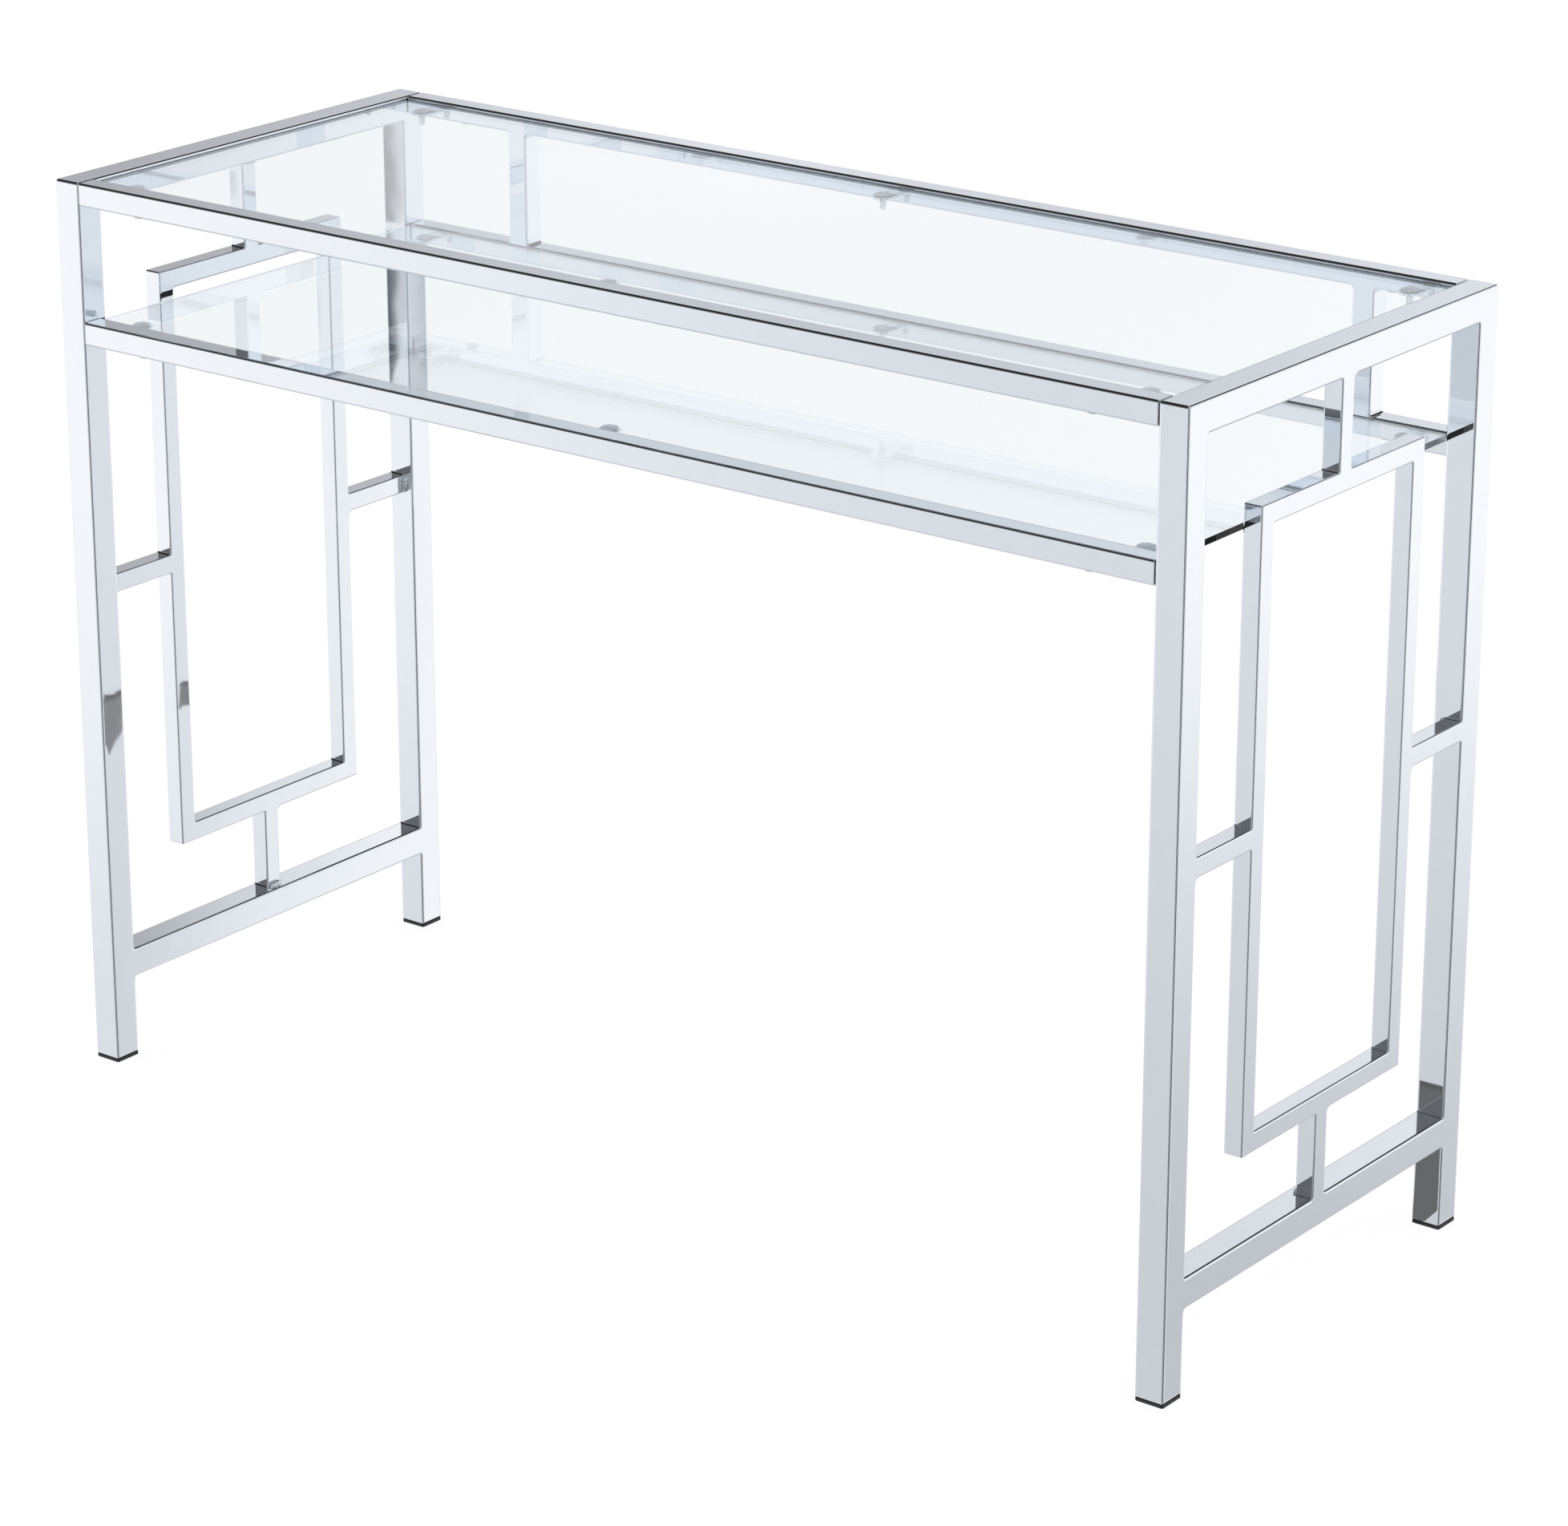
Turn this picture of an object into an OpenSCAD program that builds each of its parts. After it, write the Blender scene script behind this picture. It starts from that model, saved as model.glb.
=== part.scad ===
// Console table: two welded end frames of square tube, four long rails, two back posts,
// a glass top and a glass shelf. Millimetres, origin under the centre, front towards -Y.

/* [Overall] */
// length over the end frames
table_w = 1085; // [700:5:1600]
// depth over the legs
table_d = 416; // [280:2:600]
// height to the top of the rails
table_h = 762; // [500:1:950]

/* [Tubes] */
// side of the square leg and end rail tube
leg_w = 25; // [20:0.5:40]
// side of the square long rail and post tube
rail_w = 19; // [15:0.5:30]
// side of the square tube of the inner rectangles
bar_w = 16; // [10:0.5:25]
// wall of every tube
wall = 1.2; // [0.8:0.1:2.5]
// outer corner radius of the leg tube
leg_r = 2; // [0.5:0.1:4]
// outer corner radius of the rail and post tube
rail_r = 2; // [0.5:0.1:3]
// outer corner radius of the inner rectangle tube
bar_r = 1.5; // [0.5:0.1:3]

/* [End frames] */
// underside of the bottom end rail above the floor
low_rail_z = 71; // [30:1:200]
// gap between the inner rectangle and the end rails
gap_z = 70; // [40:1:120]
// gap between the inner rectangle and the legs
gap_y = 72; // [40:1:120]
// radius of the ground outer corners of the mitred frames
corner_r = 1.6; // [0.4:0.1:3]
// side of the weld fillets
weld = 3.2; // [1:0.1:5]

/* [Shelf and posts] */
// height of the top of the shelf rails
shelf_z = 647; // [300:1:700]
// centre of the left back post along the length
post_left_x = -396; // [-500:1:-100]
// centre of the right back post along the length
post_right_x = 437; // [100:1:500]

/* [Glass] */
// thickness of both panes
glass_t = 5; // [4:0.5:10]
// depth of the glass top below the top of its rails
top_drop = 3; // [0:0.5:6]
// depth of the glass shelf below the top of its rails
shelf_drop = 1; // [0:0.5:6]
// gap between the panes and the tubes round them
glass_gap = 1.5; // [0.5:0.1:4]

/* [Pads and tabs] */
// distance of the end pads from the middle
pad_x = 487; // [100:1:700]
// distance of the pads in from the rails
pad_in = 16; // [10:0.5:30]
// diameter of the clear pads
pad_d = 14; // [8:0.5:20]
// thickness of the clear pads
pad_t = 2.5; // [1:0.1:5]
// diameter of the pad stems
stem_d = 5; // [3:0.1:8]
// height of the pad stems below the pads
stem_h = 11; // [5:0.5:20]
// width of the tabs that carry the pads
tab_w = 18; // [10:0.5:30]
// thickness of those tabs
tab_t = 2; // [1:0.1:4]

/* [Joints] */
// gap left between the rail ends and the legs
seam = 0.4; // [0:0.1:1]
// length of the pegs inside the rail ends
peg_l = 74; // [30:1:120]
// distance of the locking screws from the middle
screw_x = 458; // [100:1:700]
// diameter of the locking screws
screw_d = 6; // [4:0.5:8]
// diameter of the screw heads
head_d = 10.5; // [6:0.5:14]
// height of the screw heads
head_h = 1.6; // [1.5:0.1:5]

/* [Feet] */
// visible rim of the foot caps
cap_h = 3; // [1:0.5:8]
// depth of the cap plug inside the leg
plug_h = 16; // [8:1:40]

/* [Hidden] */
$fn = 48;
eps = 0.1;
in_x = table_w/2 - leg_w;          // inner face of the end frames
out_x = table_w/2;
in_y = table_d/2 - rail_w;         // inner face of the long rails
out_y = table_d/2;
leg_y = table_d/2 - leg_w;         // inner face of the legs, across the depth
rect_y = leg_y - gap_y;            // outer edge of the inner rectangle
low_top = low_rail_z + leg_w;
rect_z0 = low_top + gap_z;
rect_z1 = table_h - leg_w - gap_z;
rect_mid = (rect_z0 + rect_z1)/2;
bar_x = out_x - bar_w/2;           // centre of the bars, flush with the outside
rail_len = 2*(in_x - seam);
top_glass_z = table_h - top_drop - glass_t;
shelf_glass_z = shelf_z - shelf_drop - glass_t;
pad_y = in_y - pad_in;
pad_spots = [for (x = [-pad_x, 0, pad_x]) for (y = [-1, 1]) [x, y]];

// ---- shapes that repeat ----

module rsq(a, b, r) {
  square([a - 2*r, b], center = true);
  square([a, b - 2*r], center = true);
  for (x = [-1, 1]) for (y = [-1, 1])
    translate([x*(a/2 - r), y*(b/2 - r)]) circle(r);
}

module ring(w, r) {
  difference() {
    rsq(w, w, r);
    rsq(w - 2*wall, w - 2*wall, max(r - wall, 0.4));
  }
}

// square tube standing on z = 0
module tube(w, r, len) {
  linear_extrude(height = len) ring(w, r);
}

// square tube along x from x0
module tube_x(w, r, len) {
  rotate([0, 90, 0]) tube(w, r, len);
}

// square tube along y from y0
module tube_y(w, r, len) {
  rotate([-90, 0, 0]) tube(w, r, len);
}

// prism along x that trims a mitre at the outer corner (y, z) of a frame; sy and sz point
// outwards, and upright says whether the upright or the level tube is kept
module mitre(y, z, sy, sz, a, upright) {
  third = upright ? [-a - 5, 5] : [5, -a - 5];
  translate([-a, 0, 0]) rotate([90, 0, 90]) linear_extrude(height = 2*a)
    polygon([for (p = [[5, 5], [-a - 5, -a - 5], third]) [y + sy*p[0], z + sz*p[1]]]);
}

// what is ground off the outer corner (y, z) of a mitred frame along x
module corner_cut(y, z, sy, sz, a) {
  translate([-a, 0, 0]) rotate([90, 0, 90]) linear_extrude(height = 2*a)
  difference() {
    polygon([for (p = [[1, 1], [-corner_r, 1], [-corner_r, -corner_r], [1, -corner_r]])
      [y + sy*p[0], z + sz*p[1]]]);
    translate([y - sy*corner_r, z - sz*corner_r]) circle(corner_r);
  }
}

// leg with its top end mitred; sy is -1 for the front, 1 for the rear
module leg(sx, sy) {
  color("gainsboro")
  translate([sx*(out_x - leg_w/2), 0, 0])
  difference() {
    translate([0, sy*(out_y - leg_w/2), cap_h]) tube(leg_w, leg_r, table_h - cap_h);
    mitre(sy*out_y, table_h, sy, 1, leg_w, true);
    corner_cut(sy*out_y, table_h, sy, 1, leg_w);
  }
}

// top end rail with both ends mitred
module end_top_rail(sx) {
  color("gainsboro")
  translate([sx*(out_x - leg_w/2), 0, 0])
  difference() {
    translate([0, -out_y, table_h - leg_w/2]) tube_y(leg_w, leg_r, table_d);
    for (s = [-1, 1]) {
      mitre(s*out_y, table_h, s, 1, leg_w, false);
      corner_cut(s*out_y, table_h, s, 1, leg_w);
    }
  }
}

module end_bottom_rail(sx) {
  color("gainsboro")
  translate([sx*(out_x - leg_w/2), -leg_y, low_rail_z + leg_w/2])
    tube_y(leg_w, leg_r, 2*leg_y);
}

// level bar of an inner rectangle, ends mitred; up is 1 for the top bar, -1 for the bottom bar
module level_bar(sx, up) {
  z = up > 0 ? rect_z1 : rect_z0;
  color("gainsboro")
  translate([sx*bar_x, 0, 0])
  difference() {
    translate([0, -rect_y, z - up*bar_w/2]) tube_y(bar_w, bar_r, 2*rect_y);
    for (s = [-1, 1]) {
      mitre(s*rect_y, z, s, up, bar_w, false);
      corner_cut(s*rect_y, z, s, up, bar_w);
    }
  }
}

// upright bar of an inner rectangle, ends mitred; sy is -1 for the front bar, 1 for the rear
module upright_bar(sx, sy) {
  color("gainsboro")
  translate([sx*bar_x, 0, 0])
  difference() {
    translate([0, sy*(rect_y - bar_w/2), rect_z0]) tube(bar_w, bar_r, rect_z1 - rect_z0);
    for (e = [[rect_z1, 1], [rect_z0, -1]]) {
      mitre(sy*rect_y, e[0], sy, e[1], bar_w, true);
      corner_cut(sy*rect_y, e[0], sy, e[1], bar_w);
    }
  }
}

module upright_stub(sx, z0, z1) {
  color("gainsboro")
  translate([sx*bar_x, 0, z0]) tube(bar_w, bar_r, z1 - z0);
}

module level_stub(sx, sy) {
  y0 = sy < 0 ? -leg_y : rect_y;
  color("gainsboro")
  translate([sx*bar_x, y0, rect_mid]) tube_y(bar_w, bar_r, leg_y - rect_y);
}

// concave weld fillet along x in the corner at the origin, open towards (sy, sz)
module fillet(sy, sz, len) {
  translate([-len/2, 0, 0]) rotate([90, 0, 90]) linear_extrude(height = len)
  difference() {
    polygon([[0, 0], [sy*weld, 0], [sy*weld, sz*weld], [0, sz*weld]]);
    translate([sy*weld*1.25, sz*weld*1.25]) circle(weld*1.25);
  }
}

module end_welds(sx) {
  small = bar_w - 2*bar_r;
  big = leg_w - 2*leg_r;
  color("silver")
  translate([sx*bar_x, 0, 0]) {
    // stubs on the upper and lower side of the rectangle
    for (s = [-1, 1]) {
      translate([0, s*bar_w/2, table_h - leg_w]) fillet(s, -1, small);
      translate([0, s*bar_w/2, rect_z1]) fillet(s, 1, small);
      translate([0, s*bar_w/2, rect_z0]) fillet(s, -1, small);
      translate([0, s*bar_w/2, low_top]) fillet(s, 1, small);
    }
    // stubs on the front and rear side
    for (s = [-1, 1]) for (u = [-1, 1]) {
      translate([0, s*leg_y, rect_mid + u*bar_w/2]) fillet(-s, u, small);
      translate([0, s*rect_y, rect_mid + u*bar_w/2]) fillet(s, u, small);
    }
    // inside corners of the rectangle
    for (s = [-1, 1]) {
      translate([0, s*(rect_y - bar_w), rect_z1 - bar_w]) fillet(-s, -1, small);
      translate([0, s*(rect_y - bar_w), rect_z0 + bar_w]) fillet(-s, 1, small);
    }
  }
  // legs with the end rails
  color("silver")
  translate([sx*(out_x - leg_w/2), 0, 0])
    for (s = [-1, 1]) {
      translate([0, s*leg_y, table_h - leg_w]) fillet(-s, -1, big);
      translate([0, s*leg_y, low_top]) fillet(-s, 1, big);
      translate([0, s*leg_y, low_rail_z]) fillet(-s, -1, big);
    }
}

// long rail with the two screw holes in its lower wall
module long_rail(sy, ztop) {
  color("gainsboro")
  difference() {
    translate([-rail_len/2, sy*(out_y - rail_w/2), ztop - rail_w/2])
      tube_x(rail_w, rail_r, rail_len);
    for (s = [-1, 1])
      translate([s*screw_x, sy*(out_y - rail_w/2), ztop - rail_w - 1])
        cylinder(d = screw_d + 0.6, h = wall + 2);
  }
}

module back_post(x) {
  color("gainsboro")
  translate([x, out_y - rail_w/2, shelf_z]) tube(rail_w, rail_r, table_h - rail_w - shelf_z);
}

module pane(zlow) {
  color([0.75, 0.87, 0.85, 0.35])
  translate([0, 0, zlow]) linear_extrude(height = glass_t)
    rsq(2*(in_x - glass_gap), 2*(in_y - glass_gap), 2);
}

// clear pad with its push-in stem, top of the pad at z = 0
module pad() {
  translate([0, 0, -pad_t]) cylinder(d = pad_d, h = pad_t);
  translate([0, 0, -pad_t - stem_h]) cylinder(d = stem_d, h = stem_h + eps);
  translate([0, 0, -pad_t - tab_t - 2.1]) cylinder(d = stem_d + 1.2, h = 2);
}

module pads(z) {
  color([0.92, 0.95, 0.97, 0.6])
  for (p = pad_spots) translate([p[0], p[1]*pad_y, z]) pad();
}

module tabs(z) {
  color("silver")
  for (p = pad_spots)
    translate([p[0], p[1]*pad_y, z - pad_t - tab_t]) linear_extrude(height = tab_t)
    difference() {
      union() {
        circle(d = tab_w);
        translate([-tab_w/2, p[1] > 0 ? 0 : -pad_in]) square([tab_w, pad_in]);
      }
      circle(d = stem_d + 0.2);
    }
}

// peg that the end of a long rail slides over
module peg(sx, sy, ztop) {
  w = rail_w - 2*wall - 0.3;
  translate([sx*in_x, sy*(out_y - rail_w/2), ztop - rail_w/2])
  difference() {
    translate([sx < 0 ? 0 : -peg_l, 0, 0]) rotate([0, 90, 0])
      linear_extrude(height = peg_l) rsq(w, w, 1);
    translate([sx*(screw_x - in_x), 0, -w/2 - 1]) cylinder(d = screw_d + 0.1, h = 15);
  }
}

module pegs(sx) {
  color("darkgray")
  for (sy = [-1, 1]) for (z = [table_h, shelf_z]) peg(sx, sy, z);
}

// socket head screw from below, head against z = 0
module screw() {
  difference() {
    union() {
      translate([0, 0, -head_h]) cylinder(d = head_d, h = head_h);
      cylinder(d = screw_d, h = 12);
    }
    translate([0, 0, -head_h - 1]) cylinder(d = 4, h = 1 + head_h*0.7, $fn = 6);
  }
}

module foot_cap(sx, sy) {
  p = leg_w - 2*wall - 0.2;
  color([0.08, 0.08, 0.08])
  translate([sx*(out_x - leg_w/2), sy*(out_y - leg_w/2), 0]) {
    linear_extrude(height = cap_h) rsq(leg_w, leg_w, leg_r);
    difference() {
      translate([0, 0, cap_h - eps]) linear_extrude(height = plug_h + eps) rsq(p, p, 0.8);
      translate([0, 0, cap_h]) linear_extrude(height = plug_h + 1) rsq(p - 4, p - 4, 0.6);
    }
  }
}

// ---- sub-parts ----

module left_front_leg() leg(-1, -1);
module left_rear_leg() leg(-1, 1);
module right_front_leg() leg(1, -1);
module right_rear_leg() leg(1, 1);
module left_top_rail() end_top_rail(-1);
module right_top_rail() end_top_rail(1);
module left_bottom_rail() end_bottom_rail(-1);
module right_bottom_rail() end_bottom_rail(1);

module left_inner_top_bar() level_bar(-1, 1);
module left_inner_bottom_bar() level_bar(-1, -1);
module left_inner_front_bar() upright_bar(-1, -1);
module left_inner_rear_bar() upright_bar(-1, 1);
module right_inner_top_bar() level_bar(1, 1);
module right_inner_bottom_bar() level_bar(1, -1);
module right_inner_front_bar() upright_bar(1, -1);
module right_inner_rear_bar() upright_bar(1, 1);

module left_upper_stub() upright_stub(-1, rect_z1, table_h - leg_w);
module left_lower_stub() upright_stub(-1, low_top, rect_z0);
module left_front_stub() level_stub(-1, -1);
module left_rear_stub() level_stub(-1, 1);
module right_upper_stub() upright_stub(1, rect_z1, table_h - leg_w);
module right_lower_stub() upright_stub(1, low_top, rect_z0);
module right_front_stub() level_stub(1, -1);
module right_rear_stub() level_stub(1, 1);

module left_welds() end_welds(-1);
module right_welds() end_welds(1);

module front_top_rail() long_rail(-1, table_h);
module back_top_rail() long_rail(1, table_h);
module front_shelf_rail() long_rail(-1, shelf_z);
module back_shelf_rail() long_rail(1, shelf_z);
module left_back_post() back_post(post_left_x);
module right_back_post() back_post(post_right_x);

// fillets where the posts meet the rails, on the faces towards the ends of the table
module post_welds() {
  w = rail_w - 2*rail_r;
  color("silver")
  for (x = [post_left_x, post_right_x]) for (s = [-1, 1]) {
    translate([x + s*rail_w/2, out_y - rail_w/2, shelf_z])
      rotate([0, 0, -90]) fillet(s, 1, w);
    translate([x + s*rail_w/2, out_y - rail_w/2, table_h - rail_w])
      rotate([0, 0, -90]) fillet(s, -1, w);
  }
}

module glass_top() pane(top_glass_z);
module glass_shelf() pane(shelf_glass_z);
module top_pads() pads(top_glass_z);
module shelf_pads() pads(shelf_glass_z);
module top_pad_tabs() tabs(top_glass_z);
module shelf_pad_tabs() tabs(shelf_glass_z);
module left_pegs() pegs(-1);
module right_pegs() pegs(1);

module rail_screws() {
  color("gray")
  for (sx = [-1, 1]) for (sy = [-1, 1]) for (z = [table_h, shelf_z])
    translate([sx*screw_x, sy*(out_y - rail_w/2), z - rail_w]) screw();
}

module left_front_foot_cap() foot_cap(-1, -1);
module left_rear_foot_cap() foot_cap(-1, 1);
module right_front_foot_cap() foot_cap(1, -1);
module right_rear_foot_cap() foot_cap(1, 1);

left_front_leg();
left_rear_leg();
right_front_leg();
right_rear_leg();
left_top_rail();
right_top_rail();
left_bottom_rail();
right_bottom_rail();
left_inner_top_bar();
left_inner_bottom_bar();
left_inner_front_bar();
left_inner_rear_bar();
right_inner_top_bar();
right_inner_bottom_bar();
right_inner_front_bar();
right_inner_rear_bar();
left_upper_stub();
left_lower_stub();
left_front_stub();
left_rear_stub();
right_upper_stub();
right_lower_stub();
right_front_stub();
right_rear_stub();
left_welds();
right_welds();
front_top_rail();
back_top_rail();
front_shelf_rail();
back_shelf_rail();
left_back_post();
right_back_post();
post_welds();
glass_top();
glass_shelf();
top_pads();
shelf_pads();
top_pad_tabs();
shelf_pad_tabs();
left_pegs();
right_pegs();
rail_screws();
left_front_foot_cap();
left_rear_foot_cap();
right_front_foot_cap();
right_rear_foot_cap();
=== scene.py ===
"""Looks of the console table: welded, ground and chromed tube, clear glass and a plain studio.

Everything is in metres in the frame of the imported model. The end frames, rails, posts, panes,
pads, tabs and foot caps are rebuilt here with rounded edges and ground fillets, inside the space
of the CAD nodes they stand for. The pegs and the screws stay as they were packed.
"""
import math

import bmesh
import bpy
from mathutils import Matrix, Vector
from mathutils.geometry import delaunay_2d_cdt


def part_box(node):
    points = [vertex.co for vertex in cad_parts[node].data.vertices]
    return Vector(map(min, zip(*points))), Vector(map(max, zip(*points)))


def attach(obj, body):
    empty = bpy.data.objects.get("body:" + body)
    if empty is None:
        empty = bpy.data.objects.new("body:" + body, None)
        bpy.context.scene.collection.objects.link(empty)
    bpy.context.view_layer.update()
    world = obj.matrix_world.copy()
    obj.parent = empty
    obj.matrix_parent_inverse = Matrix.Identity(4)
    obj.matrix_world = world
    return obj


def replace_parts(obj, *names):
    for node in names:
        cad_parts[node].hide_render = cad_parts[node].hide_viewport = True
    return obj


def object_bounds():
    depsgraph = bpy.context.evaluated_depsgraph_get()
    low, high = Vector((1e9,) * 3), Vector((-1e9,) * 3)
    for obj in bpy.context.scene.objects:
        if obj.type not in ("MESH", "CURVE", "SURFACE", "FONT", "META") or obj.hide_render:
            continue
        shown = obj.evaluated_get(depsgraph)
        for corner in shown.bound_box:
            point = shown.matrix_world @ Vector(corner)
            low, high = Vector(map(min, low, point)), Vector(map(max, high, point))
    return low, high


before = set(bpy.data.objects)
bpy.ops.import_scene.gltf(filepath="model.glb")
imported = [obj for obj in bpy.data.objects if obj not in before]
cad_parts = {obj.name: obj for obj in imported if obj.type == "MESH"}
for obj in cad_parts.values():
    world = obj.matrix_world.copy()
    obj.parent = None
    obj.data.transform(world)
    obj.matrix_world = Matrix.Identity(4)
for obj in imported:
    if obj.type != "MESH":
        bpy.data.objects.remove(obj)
cad_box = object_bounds()
MM = 0.001

# ---- sizes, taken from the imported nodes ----

BODY = "root"
SIDES = {"left": -1, "right": 1}


def size(name, axis):
    """The length of a CAD node along one axis, 0 to 2."""
    low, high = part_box(name)
    return high[axis] - low[axis]


HALF_W, HALF_D, TOP_Z = cad_box[1]
LEG = size("right_front_leg", 0)
RAIL = size("front_top_rail", 2)
BAR = size("right_inner_top_bar", 2)
LEG_FOOT_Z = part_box("right_front_leg")[0].z
LOW_RAIL_Z0, LOW_RAIL_Z1 = (corner.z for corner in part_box("right_bottom_rail"))
RECT_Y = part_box("right_inner_top_bar")[1].y
RECT_Z0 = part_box("right_inner_bottom_bar")[0].z
RECT_Z1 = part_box("right_inner_top_bar")[1].z
RECT_MID = (RECT_Z0 + RECT_Z1) / 2
LEG_Y = HALF_D - LEG            # inner faces of the legs, across the depth
LEG_X = HALF_W - LEG            # inner faces of the end frames
TOP_RAIL_Z0 = TOP_Z - LEG
BAR_X = HALF_W - BAR            # inner faces of the bars

WALL = 1.2 * MM                 # tube wall
EDGE = 2.0 * MM                 # rounded long edges of the legs and end rails
RAIL_EDGE = 1.9 * MM            # the same on the long rails and the posts
BAR_EDGE = 1.5 * MM             # the same on the inner rectangles and stubs
EDGE_STEPS = 8
CORNER = 1.2 * MM               # ground outer corners of the frames
TOP_CORNER = 2.2 * MM           # the rounder ones at the top of the legs
SHARP = 1.2 * MM                # ground fillets in most inside corners
FILLET = 3.2 * MM               # fillets under the bottom rails and at the posts
FULL = 4.4 * MM                 # the fuller fillets beside the stubs
CORNER_STEPS = 6
SQUARENESS = 2.2                # 2 is a round edge, higher is a fuller one
PANE_EDGE = 0.3 * MM            # ground edges of the glass


# ---- building blocks for meshes ----

def edge_profile(radius, steps=EDGE_STEPS, power=SQUARENESS):
    """A rounded edge from the face to the wall: (inset, depth, angle of the normal)."""
    points = []
    for i in range(steps + 1):
        angle = math.pi / 2 * i / steps
        if i == steps:
            a, b = 1.0, 0.0
        else:
            ratio = math.tan(angle) ** (1 / (power - 1))
            b = (1 + ratio ** power) ** (-1 / power)
            a = ratio * b
        points.append((radius * (1 - a), radius * (1 - b), angle))
    return points


def bend(corner, d1, d2, radius):
    """The outline's points round one corner, from direction d1 to d2, material on the left.

    Each is (point, outward normal, how far it can be inset, mitre direction beyond that).
    """
    n1 = Vector((d1.y, -d1.x))
    n2 = Vector((d2.y, -d2.x))
    mitre = (n1 + n2) / (1 + n1.dot(n2))
    convex = d1.cross(d2) > 0
    turn = d1.angle(d2)
    side = 1 if convex else -1
    centre = corner - d1 * radius * math.tan(turn / 2) - n1 * side * radius
    made = []
    for k in range(CORNER_STEPS + 1):
        angle = side * turn * k / CORNER_STEPS
        normal = Vector((n1.x * math.cos(angle) - n1.y * math.sin(angle),
                         n1.x * math.sin(angle) + n1.y * math.cos(angle)))
        limit = radius if convex else math.inf
        made.append((centre + normal * side * radius, normal, limit, mitre))
    return made


def fixed(point, normal):
    """An outline point that stays where it is when the outline is inset."""
    return [(point, normal, 0.0, Vector((0, 0)))]


def outline(corners):
    """A closed outline from corners (u, v, radius), with the material on the left of it."""
    made = []
    places = [Vector(corner[:2]) for corner in corners]
    for i, here in enumerate(places):
        d1 = (here - places[i - 1]).normalized()
        d2 = (places[(i + 1) % len(places)] - here).normalized()
        made += bend(here, d1, d2, corners[i][2])
    return made


def inset(entry, amount):
    """The place of an outline point when the outline is moved into the material."""
    point, normal, limit, mitre = entry
    past = max(amount - limit, 0.0)
    return point - normal * (amount - past) - mitre * past


def finish_mesh(name, bm, normals=None, sharp=None):
    """Turns a bmesh into an object, with given vertex normals or smooth below an angle."""
    bmesh.ops.recalc_face_normals(bm, faces=bm.faces)
    mesh = bpy.data.meshes.new(name)
    bm.to_mesh(mesh)
    bm.free()
    mesh.polygons.foreach_set("use_smooth", [True] * len(mesh.polygons))
    if normals is not None:
        mesh.normals_split_custom_set_from_vertices(normals)
    elif sharp is not None:
        mesh.set_sharp_from_angle(angle=math.radians(sharp))
    piece = bpy.data.objects.new(name, mesh)
    bpy.context.scene.collection.objects.link(piece)
    return piece


def inside(point, rings):
    """Whether a point lies in the area that closed rings of points enclose, holes left out."""
    crossings = 0
    for ring in rings:
        for a, b in zip(ring, ring[1:] + ring[:1]):
            if (a.y > point.y) != (b.y > point.y):
                crossings += a.x + (point.y - a.y) * (b.x - a.x) / (b.y - a.y) > point.x
    return crossings % 2 == 1


def fill(bm, rows, rings):
    """Fills the area between rings of points with triangles on the matching vertices."""
    points, owners, edges, known = [], [], [], {}
    for row, ring in zip(rows, rings):
        indices = []
        for vertex, point in zip(row, ring):
            key = (round(point.x / MM, 5), round(point.y / MM, 5))
            if key not in known:
                known[key] = len(points)
                points.append(point / MM)
                owners.append(vertex)
            if not indices or indices[-1] != known[key]:
                indices.append(known[key])
        edges += [pair for pair in zip(indices, indices[1:] + indices[:1]) if pair[0] != pair[1]]
    made = delaunay_2d_cdt(points, edges, [], 0, 1e-6)
    for face in made[2]:
        middle = sum((made[0][i] for i in face), Vector((0, 0))) / 3 * MM
        if inside(middle, rings):
            bm.faces.new([owners[made[3][i][0]] for i in face])


def plate(name, loops, low, high, place, edge=EDGE):
    """A plate with rounded edges. Loops are outlines in (u, v), low and high its two faces
    along w, and place turns (u, v, w) into a point in the frame."""
    bm = bmesh.new()
    normals = []
    profile = edge_profile(edge)
    rings = [(o, high - h, math.sin(a), math.cos(a)) for o, h, a in profile]
    rings += [(o, low + h, math.sin(a), -math.cos(a)) for o, h, a in reversed(profile)]
    origin = place(0, 0, 0)
    faces = ([], [])
    for loop in loops:
        rows = []
        for o, w, along, across in rings:
            row = []
            for entry in loop:
                uv = inset(entry, o)
                row.append(bm.verts.new(place(uv.x, uv.y, w)))
                n = entry[1] * along
                normals.append((place(n.x, n.y, across) - origin).normalized())
            rows.append(row)
        count = len(loop)
        for upper, lower in zip(rows, rows[1:]):
            for i in range(count):
                j = (i + 1) % count
                bm.faces.new((upper[i], upper[j], lower[j], lower[i]))
        faces[0].append(rows[0])
        faces[1].append(rows[-1])
    flat_rings = [[inset(entry, edge) for entry in loop] for loop in loops]
    for rows in faces:
        fill(bm, rows, flat_rings)
    return finish_mesh(name, bm, normals)


def box_loop(u0, v0, u1, v1, radius, hole=False):
    """A rectangle as an outline."""
    corners = [(u0, v0, radius), (u1, v0, radius), (u1, v1, radius), (u0, v1, radius)]
    return outline(corners[::-1] if hole else corners)


def lathe(bm, profile, x, y, z, steps=40):
    """A turned shape about a vertical axis through (x, y), from (radius, height) points."""
    rows = []
    for radius, height in profile:
        if radius == 0:
            rows.append([bm.verts.new((x, y, z + height))])
        else:
            rows.append([bm.verts.new((x + radius * math.cos(2 * math.pi * i / steps),
                                       y + radius * math.sin(2 * math.pi * i / steps),
                                       z + height)) for i in range(steps)])
    for upper, lower in zip(rows, rows[1:]):
        for i in range(steps):
            j = (i + 1) % steps
            ring = [upper[i % len(upper)], upper[j % len(upper)],
                    lower[j % len(lower)], lower[i % len(lower)]]
            bm.faces.new(list(dict.fromkeys(ring)))


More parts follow.
